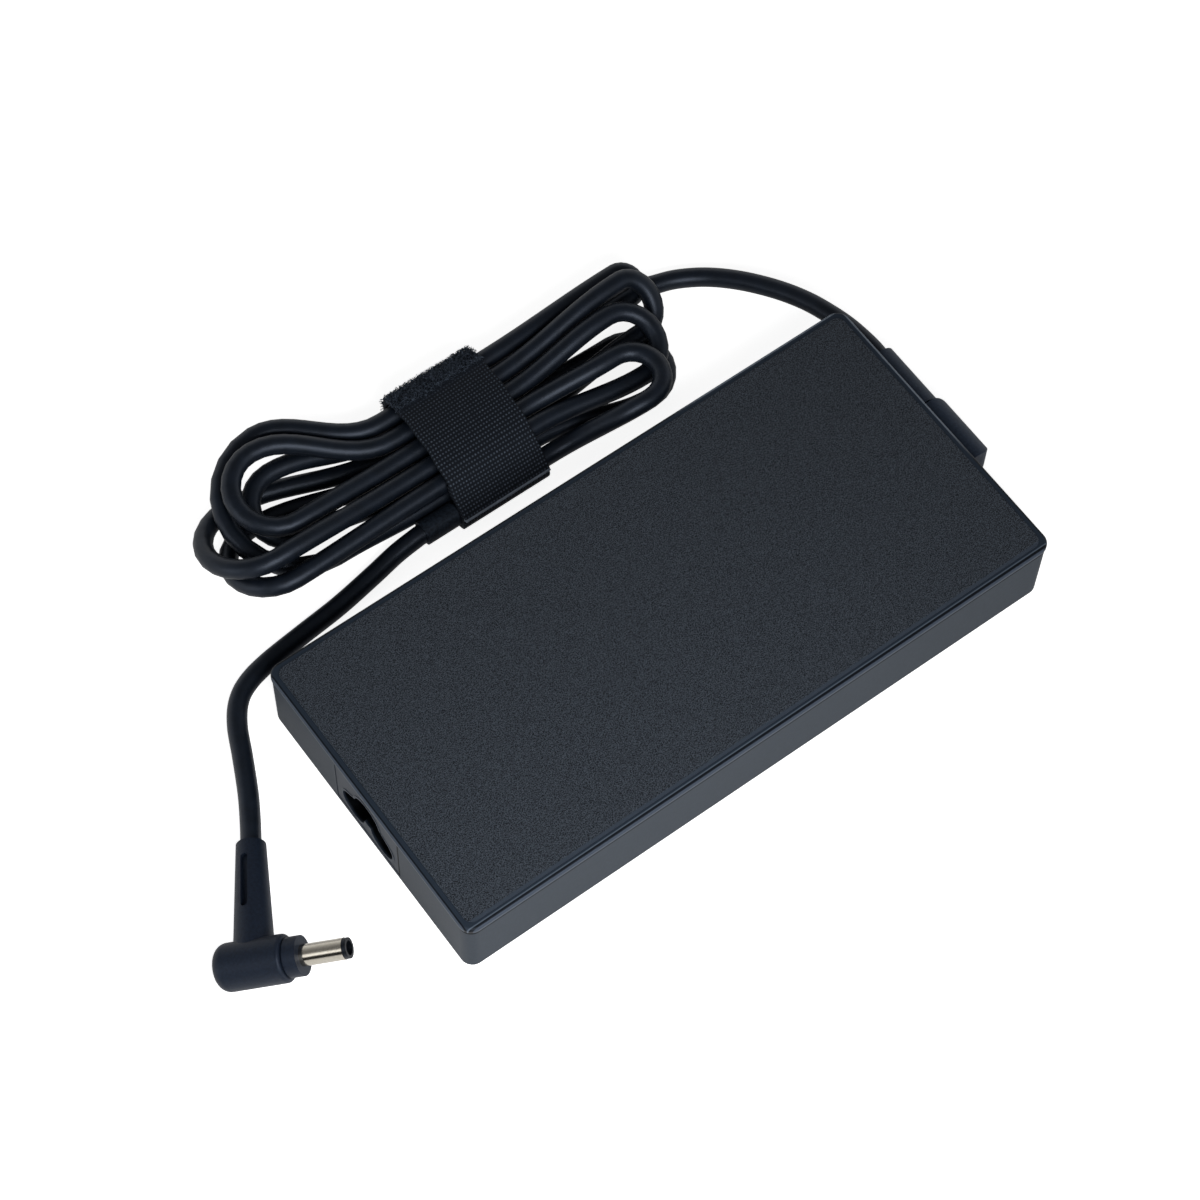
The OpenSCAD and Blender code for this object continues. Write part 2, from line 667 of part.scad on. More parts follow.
// Contact pin with a round tip, a wider root in the housing's back and a tail behind it
module inlet_pin(y, z) {
    tip = panel_x + pin_back + pin_d / 2;
    color("#c9ccd0") {
        translate([tip, y, z]) rotate([0, 90, 0]) cylinder(d = pin_d, h = pin_root_x - tip);
        translate([pin_root_x, y, z]) rotate([0, 90, 0]) cylinder(d = pin_root_d, h = housing_x - pin_root_x);
        translate([tip, y, z]) rotate([0, 90, 0]) sphere(d = pin_d);
        translate([housing_x, y, z]) rotate([0, 90, 0]) cylinder(d = tail_d, h = pin_tail);
    }
}

module inlet_line_pin() { inlet_pin(-pole_gap / 2, pole_z); }

module inlet_neutral_pin() { inlet_pin(pole_gap / 2, pole_z); }

module inlet_earth_pin() { inlet_pin(0, earth_z); }

// ---------------------------------------------------------------- strain relief and cord

// Section of the relief across the cord: flat on the wall, round outside
module relief_section(out, h) {
    translate([0, -h / 2]) square([out - h / 2, h]);
    translate([out - h / 2, 0]) circle(d = h);
}

module strain_relief() {
    color("#33383d") {
        intersection() {
            translate([wall_x, relief_end, relief_z]) rotate([90, 0, 0])
                linear_extrude(relief_l) relief_section(relief_out, relief_h);
            translate([wall_x, relief_y, 0]) slab(2 * relief_out, relief_l, relief_round, case_h);
        }
        translate([wall_x, relief_end + sleeve_step, relief_z]) rotate([90, 0, 0])
            linear_extrude(relief_l / 2) relief_section(sleeve_out - 0.8, sleeve_d - 1.2);
        translate([wall_x, sleeve_end, relief_z]) rotate([90, 0, 0])
            linear_extrude(sleeve_l - sleeve_step) relief_section(sleeve_out, sleeve_d);
        box_at(in_l / 2 - 0.2, relief_y - neck_w / 2, relief_z - neck_h / 2, wall + 1, neck_w, neck_h);
        box_at(flange_x, relief_y - neck_w / 2 - flange_over, relief_z - neck_h / 2 - flange_over, flange_t,
            neck_w + 2 * flange_over, neck_h + 2 * flange_over);
    }
}

module cord_case_run() {
    color("#1b1e22") tube(case_run_path(2), cord_d, 10);
}

module cord_hank() {
    fine = hank_path(check_steps, check_steps);
    echo(hank_least_gap = least_gap(fine, check_steps) - cord_d);
    echo(hank_length = path_length(fine));
    color("#1b1e22") tube(hank_path(4, 6), cord_d, 8);
}

module cord_plug_run() {
    echo(run_lengths = [path_length(case_run_path(6)), path_length(plug_run_path(6))]);
    color("#1b1e22") tube(plug_run_path(2), cord_d, 10);
}

// ---------------------------------------------------------------- strap and keeper

// Places its children at the strand a, turned towards the strand b
module towards(a, b) {
    translate(a) rotate(atan2(b[1] - a[1], b[0] - a[0])) children();
}

// Outline r away from the outer strands of the bundle: near low, far low, far high, near high
function band_outline(r) =
    let (c = [for (s = [[0, 0], [5, 0], [5, 1], [1, 1]]) let (p = strand(0, s[0], s[1])) [p[1], p[2]]],
        near = 270 + atan2(c[0][1] - c[3][1], c[0][0] - c[3][0]),
        turns = [[near, 270], [270, 360], [0, 90], [90, near]])
    [for (i = [0 : 3], k = [0 : band_steps])
        let (u = turns[i][0] + (turns[i][1] - turns[i][0]) * k / band_steps) c[i] + r * [cos(u), sin(u)]];

// The band goes once round the strands, and its end is pressed on over the near side
module cord_strap() {
    inner = cord_d / 2 + strap_gap;
    low = strand(0, 0, 0);
    high = strand(0, 1, 1);
    color("#23272c") along(hank_x - strap_w / 2, strap_w) {
        difference() {
            polygon(band_outline(inner + strap_t));
            polygon(band_outline(inner));
        }
        towards([high[1], high[2]], [low[1], low[2]])
            translate([overlap_from, -inner - strap_t - overlap_t])
                square([overlap_l, overlap_t + strap_t / 2]);
    }
}

module strap_keeper() {
    color("#2b2f34") translate([keeper_x, hank_end[1], hank_end[2]]) rotate([0, 90, 0])
        ring(keeper_d, cord_d, keeper_l);
}

// ---------------------------------------------------------------- plug

// Places its children along the barrel, from the middle of the plug's body
module on_plug(x) {
    translate([plug_x, plug_y, plug_z]) rotate([0, -plug_tilt, plug_turn]) translate([x, 0, 0])
        rotate([0, 90, 0]) children();
}

// Places its children on the boot, with X along it and Z up, turned round it by a
module on_boot(a) {
    translate([plug_x, plug_y, plug_z]) rotate([0, boot_drop, boot_dir]) rotate([a, 0, 0]) children();
}

module plug_body() {
    boot_x = body_d / 2 - 1;
    slot_z = boot_tip_d / 2 + 0.2 - slot_t;
    color("#1f2327") difference() {
        union() {
            on_plug(-body_back) rotate_extrude() intersection() {
                translate([0, body_l]) mirror([0, 1]) edge_section(body_d, body_l, body_round);
                edge_section(body_d, body_l, front_round);
                square([body_d, body_l]);
            }
            on_plug(groove_x) cylinder(d = groove_d, h = groove_l);
            on_boot(0) rotate([0, 90, 0]) cylinder(d = boot_root_d, h = boot_x);
            on_boot(0) translate([boot_x, 0, 0]) rotate([0, 90, 0])
                cylinder(d1 = boot_root_d, d2 = boot_tip_d, h = boot_l - boot_x);
        }
        on_boot(-slot_turn) translate([boot_l - slot_back - slot_l / 2, 0, slot_z])
            slab(slot_l, slot_w, slot_w / 2.2, body_d);
    }
}

module plug_collar() {
    color("#1f2327") on_plug(collar_x) ring(collar_d, barrel_root_d, collar_l);
}

// The barrel's root in the collar is narrower than its free length
module plug_barrel() {
    color("#c4c6c8") {
        on_plug(collar_x) ring(barrel_root_d, shell_bore, collar_l);
        on_plug(collar_x + collar_l) ring(barrel_d, shell_bore, barrel_l - tip_ring_t);
    }
}

module plug_insulator() {
    color("#15171a") {
        on_plug(collar_x) ring(shell_bore, plug_bore, tip_x - collar_x - tip_ring_t);
        on_plug(tip_x - tip_ring_t) ring(barrel_d - 2 * tip_step, plug_bore, tip_ring_t);
        on_plug(collar_x) ring(plug_bore, center_d, 2);
    }
}

module plug_center_pin() {
    color("#c4c6c8") {
        on_plug(collar_x) cylinder(d = center_d, h = tip_x - center_back - center_d / 2 - collar_x);
        on_plug(tip_x - center_back - center_d / 2) sphere(d = center_d);
    }
}

// ---------------------------------------------------------------- board, liner and heat spreader

// Holes of the board or the liner for the posts, of diameter d
module post_holes(d, h) {
    for (x = [post_x0, post_x1], s = [-1, 1]) translate([x, s * post_y, 0]) cylinder(d = d, h = h);
}

module circuit_board() {
    color("#2f6b45") difference() {
        box_at(board_x0, -board_w / 2, board_z, board_x1 - board_x0, board_w, board_t);
        post_holes(peg_d + 2 * fit, case_h);
        box_at(bulk_at[0] - bulk_l / 2 - gap, bulk_at[1] - bulk_d / 2 - gap, 0, bulk_l + 2 * gap,
            bulk_d + 2 * gap, case_h);
        box_at(transformer_at[0] - core_w / 2 - gap, transformer_at[1] - core_l / 2 - gap, 0,
            core_w + 2 * gap, core_l + 2 * gap, case_h);
    }
}

module insulating_liner() {
    color("#c9b27a") difference() {
        box_at(board_x0, -board_w / 2, floor_t, board_x1 - board_x0, board_w, liner_t);
        post_holes(post_d + 2 * fit, case_h);
    }
}

module heat_spreader() {
    x0 = board_x0 + 2;
    l = board_x1 - x0;
    color("#b9bcc0") {
        box_at(x0, -spreader_w / 2, spreader_z, l, spreader_w, spreader_t);
        for (s = [-1, 1])
            box_at(x0, s * (spreader_w - spreader_t) / 2 - spreader_t / 2, spreader_z - spreader_side, l,
                spreader_t, spreader_side);
    }
}

module thermal_pads() {
    color("#8f9aa5") {
        for (x = [primary_x, output_x])
            box_at(x - sink_l / 2, sink_y - sink_t / 2, pad_z, sink_l, sink_t, pad_t);
        box_at(transformer_at[0] - core_w / 2, transformer_at[1] - core_l / 2, pad_z, core_w, core_l, pad_t);
    }
}

// ---------------------------------------------------------------- mains side

module mains_wires() {
    x0 = housing_x + pin_tail;
    color("#7a4a2a") {
        for (s = [-1, 1]) wire_to_board(x0, x0 + 2.5, s * pole_gap / 2, pole_z);
        wire_to_board(x0, x0 + 2.5, 0, earth_z);
    }
}

module mains_fuse() {
    color("#5b3a22") on_board(fuse_at, fuse_w, fuse_l, fuse_h);
}

module surge_varistor() {
    color("#2a5fa8") disc_on_leads(varistor_at, head_z - 1 - varistor_room, disc_t);
}

module inrush_thermistor() {
    color("#2c3b2e") disc_on_leads(thermistor_at, thermistor_d, disc_t);
}

// Places its children at each filter choke
module at_chokes() {
    for (at = choke_at) translate([at[0], at[1], board_top]) children();
}

module filter_choke_cores() {
    color("#4a6a52") at_chokes() {
        translate([0, 0, choke_wind]) ring(choke_d, choke_bore, choke_h);
        for (s = [-1, 1]) translate([s * (choke_d + choke_bore) / 4, 0, 0]) cylinder(d = 2, h = choke_wind);
    }
}

// Each choke has two windings, one on either side of its core
module filter_choke_windings() {
    color("#b8743a") at_chokes() intersection() {
        difference() {
            ring(choke_d + 2 * choke_wind, choke_bore - 2 * choke_wind, choke_h + 2 * choke_wind);
            translate([0, 0, choke_wind]) ring(choke_d, choke_bore, choke_h);
        }
        for (s = [-1, 1]) translate([-choke_d, s * choke_d / 2 + s * 1.5 - choke_d / 2, 0])
            cube([2 * choke_d, choke_d, choke_h + 2 * choke_wind]);
    }
}

module filter_capacitors() {
    color("#d8b23c") {
        on_board(box_cap_at, box_cap_l, box_cap_w, head_z - box_cap_room);
        for (at = y_cap_at) disc_on_leads(at, y_cap_d, disc_t);
    }
}

module bridge_rectifier() {
    color("#26282b") on_board(bridge_at, bridge_t, bridge_l, head_z - bridge_room);
}

// ---------------------------------------------------------------- power conversion

module boost_inductor() {
    color("#d9c25a") on_board(boost_at, boost_w, boost_w, head_z - boost_room);
}

// The bulk capacitor lies in its cutout and stands on its two leads
module bulk_capacitor() {
    x0 = bulk_at[0] - bulk_l / 2;
    z = low_z + bulk_d / 2;
    color("#3a3f66") {
        translate([x0, bulk_at[1], z]) rotate([0, 90, 0]) cylinder(d = bulk_d, h = bulk_l);
        for (s = [-1, 1]) translate([x0 - 2, bulk_at[1] + 2.5 * s, z]) {
            rotate([0, 90, 0]) cylinder(d = lead_d, h = 2);
            sphere(d = lead_d);
            translate([0, 0, board_top - z]) cylinder(d = lead_d, h = z - board_top);
        }
    }
}

// Power semiconductor standing against its heat sink
module package(x) {
    box_at(x - package_w / 2, sink_y - sink_t / 2 - package_t, board_top, package_w, package_t,
        pad_z - board_top - gap);
}

module heat_sink(x) {
    box_at(x - sink_l / 2, sink_y - sink_t / 2, board_top, sink_l, sink_t, pad_z - board_top);
}

module primary_switch() {
    color("#1d1f22") package(primary_x);
}

module primary_heat_sink() {
    color("#aeb2b6") heat_sink(primary_x);
}

// Two core plates joined by the outer legs and the round centre leg
module transformer_core() {
    w = core_plate;
    h = pad_z - low_z;
    color("#3a3a3c") translate([transformer_at[0], transformer_at[1], low_z]) {
        for (z = [0, h - w]) translate([-core_w / 2, -core_l / 2, z]) cube([core_w, core_l, w]);
        for (s = [-1, 1]) translate([s * (core_w - w) / 2 - w / 2, -core_l / 2, 0]) cube([w, core_l, h]);
        cylinder(d = leg_d, h = h);
    }
}

// Bobbin on the centre leg, with a pin rail on the board at each end
module transformer_bobbin() {
    z0 = low_z + core_plate;
    h = pad_z - core_plate - z0;
    bore = leg_d + 2 * fit;
    wound = bore + 2 * bobbin_t;
    rail_y = core_l / 2 + 3;
    color("#e4ddc8") translate([transformer_at[0], transformer_at[1], 0]) difference() {
        union() {
            translate([0, 0, z0]) cylinder(d = wound, h = h);
            for (z = [z0, z0 + h - bobbin_t])
                translate([0, 0, z]) cylinder(d = wound + 2 * winding_t, h = bobbin_t);
            for (s = [-1, 1]) {
                translate([-wound / 2, s * rail_y / 2 - rail_y / 2, z0]) cube([wound, rail_y, bobbin_t]);
                translate([-wound / 2, s * rail_y - 1.5, board_top])
                    cube([wound, 3, z0 + bobbin_t - board_top]);
            }
        }
        cylinder(d = bore, h = case_h);
    }
}

module transformer_winding() {
    z0 = low_z + core_plate + bobbin_t;
    bore = leg_d + 2 * fit + 2 * bobbin_t;
    color("#c98a2b") translate([transformer_at[0], transformer_at[1], z0])
        ring(bore + 2 * winding_t - 0.6, bore, pad_z - core_plate - bobbin_t - z0);
}

// ---------------------------------------------------------------- output side

module output_rectifier() {
    color("#1d1f22") package(output_x);
}

module output_heat_sink() {
    color("#aeb2b6") heat_sink(output_x);
}

module output_capacitors() {
    color("#2b2f55") for (i = [0 : 2])
        translate([out_cap_at[0] + i * out_cap_pitch, out_cap_at[1], board_top])
            cylinder(d = out_cap_d, h = tall_z - board_top);
}

module output_choke() {
    color("#57606a") translate([out_choke_at[0], out_choke_at[1], board_top])
        cylinder(d = out_choke_d, h = out_choke_h);
}

module optocoupler() {
    color("#e8e8e4") on_board(opto_at, opto_w, opto_w, chip_h);
}

module control_chips() {
    color("#16181a") for (at = chips_at) on_board(at, chip_w, chip_w, chip_h);
}

module output_wires() {
    color("#9a2f2f") for (s = [-1, 1]) wire_to_board(flange_x, flange_x - 4.4, s * wire_y, relief_z);
}

top_cover();
bottom_cover();
inlet_housing();
inlet_line_pin();
inlet_neutral_pin();
inlet_earth_pin();
strain_relief();
cord_case_run();
cord_hank();
cord_plug_run();
cord_strap();
strap_keeper();
plug_body();
plug_collar();
plug_barrel();
plug_insulator();
plug_center_pin();
circuit_board();
insulating_liner();
heat_spreader();
thermal_pads();
mains_wires();
mains_fuse();
surge_varistor();
inrush_thermistor();
filter_choke_cores();
filter_choke_windings();
filter_capacitors();
bridge_rectifier();
boost_inductor();
bulk_capacitor();
primary_switch();
primary_heat_sink();
transformer_core();
transformer_bobbin();
transformer_winding();
output_rectifier();
output_heat_sink();
output_capacitors();
output_choke();
optocoupler();
control_chips();
output_wires();
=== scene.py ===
import math
import bpy
from mathutils import Matrix, Vector


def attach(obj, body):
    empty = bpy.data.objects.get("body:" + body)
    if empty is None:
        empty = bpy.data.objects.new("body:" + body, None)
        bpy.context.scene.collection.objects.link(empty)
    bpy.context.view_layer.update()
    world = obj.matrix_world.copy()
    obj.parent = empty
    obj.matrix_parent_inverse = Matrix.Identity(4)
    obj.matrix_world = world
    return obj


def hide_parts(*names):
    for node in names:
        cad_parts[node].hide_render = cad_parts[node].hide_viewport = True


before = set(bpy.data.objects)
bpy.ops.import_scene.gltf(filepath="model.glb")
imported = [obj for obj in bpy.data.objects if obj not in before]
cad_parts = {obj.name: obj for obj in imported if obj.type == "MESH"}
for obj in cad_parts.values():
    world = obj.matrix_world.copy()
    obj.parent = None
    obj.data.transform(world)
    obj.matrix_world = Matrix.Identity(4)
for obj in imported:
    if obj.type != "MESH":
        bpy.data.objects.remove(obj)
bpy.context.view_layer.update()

scene = bpy.context.scene
scene.view_settings.view_transform = "Standard"

# ------------------------------------------------------------------ table, light and camera
# The adapter lies on a white table in a light tent: a bright room all round, one soft box
# over its near side and a weaker one beyond the inlet end.


def linear(code):
    """An sRGB hex colour as the linear colour that a shader takes."""
    parts = [int(code[k:k + 2], 16) / 255 for k in (1, 3, 5)]
    return (*[p / 12.92 if p <= 0.04045 else ((p + 0.055) / 1.055) ** 2.4 for p in parts], 1)


def add(tree, kind, inputs=None, **settings):
    """Adds a node. inputs holds a value or another node's output for each socket."""
    made = tree.nodes.new(kind)
    for name, value in settings.items():
        setattr(made, name, value)
    for name, value in (inputs or {}).items():
        socket = made.inputs[name]
        if isinstance(value, bpy.types.NodeSocket):
            tree.links.new(value, socket)
        else:
            socket.default_value = value
    return made


def maths(tree, operation, a, b=0.0):
    """Output of one sum, product or comparison."""
    return add(tree, "ShaderNodeMath", {0: a, 1: b}, operation=operation).outputs[0]


def ramp(tree, value, start, end, low=0.0, high=1.0):
    """Output that goes from low to high between start and end, and stays level outside them."""
    return add(tree, "ShaderNodeMapRange", {"Value": value, "From Min": start, "From Max": end,
                                            "To Min": low, "To Max": high}).outputs[0]


def new_tree(name):
    material = bpy.data.materials.new(name)
    material.use_nodes = True
    material.node_tree.nodes.clear()
    return material, material.node_tree


def looked_at(tree):
    """1 where the camera, a reflection or a view through glass looks, and 0 for plain light."""
    path = add(tree, "ShaderNodeLightPath")
    seen = maths(tree, "MAXIMUM", path.outputs["Is Camera Ray"], path.outputs["Is Glossy Ray"])
    return maths(tree, "MAXIMUM", seen, path.outputs["Is Transmission Ray"])


# White paper that glows a little where it is looked at, so that it reaches white beside its shadows
white_table, tree = new_tree("white table")
paper = add(tree, "ShaderNodeBsdfDiffuse", {"Color": linear("#f4f4f4")})
path = add(tree, "ShaderNodeLightPath")
camera_glow = maths(tree, "MULTIPLY", path.outputs["Is Camera Ray"], 0.62)
seen_glow = maths(tree, "MULTIPLY", looked_at(tree), 0.25)
glow = add(tree, "ShaderNodeEmission", {"Color": (1, 1, 1, 1),
                                        "Strength": maths(tree, "ADD", camera_glow, seen_glow)})
both = add(tree, "ShaderNodeAddShader", {0: paper.outputs[0], 1: glow.outputs[0]})
add(tree, "ShaderNodeOutputMaterial", {"Surface": both.outputs[0]})

bpy.ops.mesh.primitive_plane_add(size=3)
table = bpy.context.object
table.name = "table"
table.data.materials.append(white_table)


def background(tree, strength):
    return add(tree, "ShaderNodeBackground", {"Color": (1, 1, 1, 1), "Strength": strength}).outputs[0]


# The camera sees white walls. Reflections see a darker ceiling too, and a dark doorway beyond the
# inlet end, which draws the dark line along the plug's barrel.
world = bpy.data.worlds.new("light tent")
world.use_nodes = True
scene.world = world
tree = world.node_tree
tree.nodes.clear()
direction = add(tree, "ShaderNodeTexCoord").outputs["Generated"]
rise = add(tree, "ShaderNodeSeparateXYZ", {0: direction})
ceiling = ramp(tree, rise.outputs["Z"], 0.2, 0.75, low=1.0, high=0.16)
doorway_way = (-0.9, -0.34, 0.26)
toward_doorway = add(tree, "ShaderNodeVectorMath", {0: direction, 1: doorway_way}, operation="DOT_PRODUCT")
doorway = ramp(tree, toward_doorway.outputs["Value"], 0.94, 0.965, low=1.0, high=0.02)
reflected = background(tree, maths(tree, "MULTIPLY", ceiling, doorway))
mixed = add(tree, "ShaderNodeMixShader", {0: looked_at(tree), 1: background(tree, 0.1),
                                          2: background(tree, 1.0)})
path = add(tree, "ShaderNodeLightPath")
tent = add(tree, "ShaderNodeMixShader", {0: path.outputs["Is Glossy Ray"], 1: mixed.outputs[0], 2: reflected})
add(tree, "ShaderNodeOutputWorld", {"Surface": tent.outputs[0]})

object_middle = Vector((-0.02, 0.02, 0))


def soft_box(name, place, size, power):
    """Square area lamp aimed at the middle of the object."""
    lamp = bpy.data.lights.new(name, "AREA")
    lamp.size = size
    lamp.energy = power
    box = bpy.data.objects.new(name, lamp)
    scene.collection.objects.link(box)
    place = Vector(place)
    aim = place - object_middle
    box.matrix_world = Matrix.Translation(place) @ aim.to_track_quat("Z", "Y").to_matrix().to_4x4()


soft_box("key box", (-0.08, -0.17, 0.2), 0.16, 0.66)
soft_box("fill box", (-0.42, 0.04, 0.14), 0.25, 0.28)

camera = bpy.data.cameras.new("camera")
camera.lens = 100.33
camera.shift_x = 0.0505
eye = bpy.data.objects.new("camera", camera)
scene.collection.objects.link(eye)
right = Vector((0.8109, -0.5852, 0))
back = Vector((-0.2684, -0.3719, 0.8887))
up = back.cross(right)
turn = Matrix((right, up, back)).transposed().to_4x4()
eye_place = Vector((-0.2058, -0.2415, 0.6351))
eye.matrix_world = Matrix.Translation(eye_place) @ turn
scene.camera = eye

# ------------------------------------------------------------------ case covers
# Two injection-moulded covers of black ABS blend, welded together along the seam. The top's
# field is spark-eroded to a fine stipple; its frame and the side walls are left satin.

mm = 0.001
case_edge = dict(zip("XYZ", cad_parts["top_cover"].bound_box[6]))  # half length, half width, height
seam = case_edge["Z"] - 1.5 * mm


def blend(tree, share, under, over):
    """Colour that goes from under to over. Each is a hex colour or a node's output."""
    under, over = (linear(c) if isinstance(c, str) else c for c in (under, over))
    return add(tree, "ShaderNodeMix", {0: share, 6: under, 7: over}, data_type="RGBA").outputs[2]


def shaded(name, roughness, level, metallic=0.0):
    """New material, its tree and its shader. Highlights on plastic are a cool white."""
    material, tree = new_tree(name)
    shader = add(tree, "ShaderNodeBsdfPrincipled", {
        "Roughness": roughness, "Metallic": metallic, "Specular IOR Level": level,
        "Specular Tint": linear("#ffffff" if metallic else "#cddaf0")})
    add(tree, "ShaderNodeOutputMaterial", {"Surface": shader.outputs[0]})
    return material, tree, shader


def moulded(name, dark, light, grain, roughness=0.5, level=0.3, bump=0.1, metallic=0.0):
    """Material that goes from dark to light in a noise with grains of this size."""
    material, tree, shader = shaded(name, roughness, level, metallic)
    at = add(tree, "ShaderNodeTexCoord")
    noise = add(tree, "ShaderNodeTexNoise", {"Vector": at.outputs["Object"], "Scale": 1 / grain,
                                             "Detail": 2.0, "Roughness": 0.6}).outputs[0]
    tree.links.new(blend(tree, ramp(tree, noise, 0.35, 0.65), dark, light), shader.inputs["Base Color"])
    relief = add(tree, "ShaderNodeBump", {"Strength": bump, "Distance": 0.3 * grain, "Height": noise})
    tree.links.new(relief.outputs[0], shader.inputs["Normal"])
    return material, tree, shader


def dress(node_name, material):
    """Gives a CAD node its material."""
    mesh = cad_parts[node_name].data
    mesh.materials.clear()
    mesh.materials.append(material)


def rim(tree, place, axis, side, inset, fade=0.1 * mm):
    """1 from this inset out to the case's edge on one side, and 0 further in."""
    start = side * (case_edge[axis] - inset)
    return ramp(tree, place.outputs[axis], start, start + side * fade)


def either(tree, a, b):
    return maths(tree, "MAXIMUM", a, b)


def paint_shade(tree, shader, axis, low, high, colour, gloss, soft=0.08 * mm):
    """Paints shade on the part between two levels on an axis, as another colour and gloss."""
    at = add(tree, "ShaderNodeTexCoord")
    level = add(tree, "ShaderNodeSeparateXYZ", {0: at.outputs["Object"]}).outputs[axis]
    inside = maths(tree, "MULTIPLY", ramp(tree, level, low - soft, low + soft),
                   ramp(tree, level, high + soft, high - soft))
    colour_before = shader.inputs["Base Color"].links[0].from_socket
    tree.links.new(blend(tree, inside, colour_before, colour), shader.inputs["Base Color"])
    gloss_level = shader.inputs["Specular IOR Level"]
    gloss_before = gloss_level.links[0].from_socket if gloss_level.is_linked else gloss_level.default_value
    tree.links.new(ramp(tree, inside, 0, 1, low=gloss_before, high=gloss), gloss_level)


# The satin frame steps down round the field. Its bands are painted light and shade: along the near
# side a painted highlight on a ridge, painted shade in a groove and a painted highlight on the lip
# follow each other, and the inlet end has the painted groove and lip too. The rim is painted dark
# at the back, with a painted highlight at the far corner.
top_abs, tree, shader = shaded("stippled black ABS", 0.5, 0.25)
at = add(tree, "ShaderNodeTexCoord")
place = add(tree, "ShaderNodeSeparateXYZ", {0: at.outputs["Object"]})
field = maths(tree, "GREATER_THAN", place.outputs["Z"], case_edge["Z"] - 0.05 * mm)
step = maths(tree, "GREATER_THAN", place.outputs["Z"], case_edge["Z"] - 0.19 * mm)
field_edge_sheen = rim(tree, place, "Y", -1, 2.4 * mm)
ridge_highlight = rim(tree, place, "Y", -1, 1.2 * mm)
groove_shade = either(tree, rim(tree, place, "Y", -1, 0.95 * mm), rim(tree, place, "X", -1, 0.7 * mm))
near_lip_highlight = rim(tree, place, "Y", -1, 0.4 * mm)
end_lip_highlight = rim(tree, place, "X", -1, 0.4 * mm)
far_rim_shade_and_highlight = either(tree, rim(tree, place, "Y", 1, 0.7 * mm, fade=0.2 * mm),
                 rim(tree, place, "X", 1, 0.7 * mm, fade=0.2 * mm))
to_corner = maths(tree, "ADD", place.outputs["X"], place.outputs["Y"])
corner = case_edge["X"] + case_edge["Y"]
corner_highlight = ramp(tree, to_corner, corner - 47 * mm, corner - 37 * mm)

# The stipple's grains are about 0.25 mm, with painted shade in their hollows and a painted highlight on their
# tips
grit = add(tree, "ShaderNodeTexNoise", {"Vector": at.outputs["Object"], "Scale": 4300.0, "Detail": 2.0,
                                        "Roughness": 0.7})
grains = ramp(tree, grit.outputs[0], 0.42, 0.6)
bump = add(tree, "ShaderNodeBump", {"Strength": 0.6, "Distance": 0.15 * mm,
                                    "Height": maths(tree, "MULTIPLY", grains, field)})
tree.links.new(bump.outputs[0], shader.inputs["Normal"])
stipple = blend(tree, grains, "#010203", "#495059")
# A painted sheen replaces the stipple along the near side's edge of the field
stipple = blend(tree, field_edge_sheen, stipple, "#343c47")
# Painted highlights on the ridge and lips, painted shade in the groove and along the back rim
satin = blend(tree, ridge_highlight, "#222a34", "#505a66")
satin = blend(tree, groove_shade, satin, "#04060a")
satin = blend(tree, end_lip_highlight, satin, "#434b56")
satin = blend(tree, near_lip_highlight, satin, "#3b434f")
satin = blend(tree, far_rim_shade_and_highlight, satin, blend(tree, corner_highlight, "#040608", "#7d8794"))
# A painted highlight on the step's wall round the field
satin = blend(tree, step, satin, "#2b323c")
tree.links.new(blend(tree, field, satin, stipple), shader.inputs["Base Color"])
dress("top_cover", top_abs)

# The walls are a smooth satin, with a painted shade from the top cover's edge just under the seam
side_abs, tree, shader = moulded("satin black ABS", "#1f2831", "#242d37", 0.6 * mm, roughness=0.55,
                                 level=0.27, bump=0.05)
paint_shade(tree, shader, "Z", seam - 1.1 * mm, seam - 0.4 * mm, "#06080b", 0.06)
dress("bottom_cover", side_abs)

# ------------------------------------------------------------------ mains inlet
# One moulded block of black nylon with three nickel-plated brass pins, pushed into the end
# of the case before the covers are welded.

mouth = -case_edge["X"] + 0.5 * mm
panel_edge = -11.1 * mm

# The opening is painted black inside as its shade, and a line of painted shade runs down the gap beside the
# panel's near edge
inlet_nylon, tree, shader = moulded("moulded black nylon", "#212a36", "#262f3b", 0.8 * mm, level=0.27)
paint_shade(tree, shader, "X", mouth, mouth + 34.5 * mm, "#020304", 0.05, soft=0.3 * mm)
paint_shade(tree, shader, "Y", panel_edge - 8.9 * mm, panel_edge + 0.3 * mm, "#020304", 0.05)
dress("inlet_housing", inlet_nylon)

# Bright and mirror-like, with a slightly warm grey
nickel = moulded("nickel-plated brass", "#b4aea2", "#bcb7ac", 0.5 * mm, roughness=0.16, level=0.5, bump=0.01,
                 metallic=1.0)[0]
for pin in ("inlet_line_pin", "inlet_neutral_pin", "inlet_earth_pin"):
    dress(pin, nickel)

# ------------------------------------------------------------------ strain relief
# Soft black PVC moulded round the cord and through the wall of the case, so that the cord
# turns along the end of the case without a kink.

# A shade greyer and softer than the case beside it
relief_pvc = moulded("overmoulded PVC", "#202a38", "#2a3444", 0.8 * mm, level=0.35)[0]
dress("strain_relief", relief_pvc)

# ------------------------------------------------------------------ output cord
# One round cord with a black PVC sheath, wound in five turns and tied in the middle. It is
# drawn in to two layers under the strap, and its lobes lie fanned out on either side.

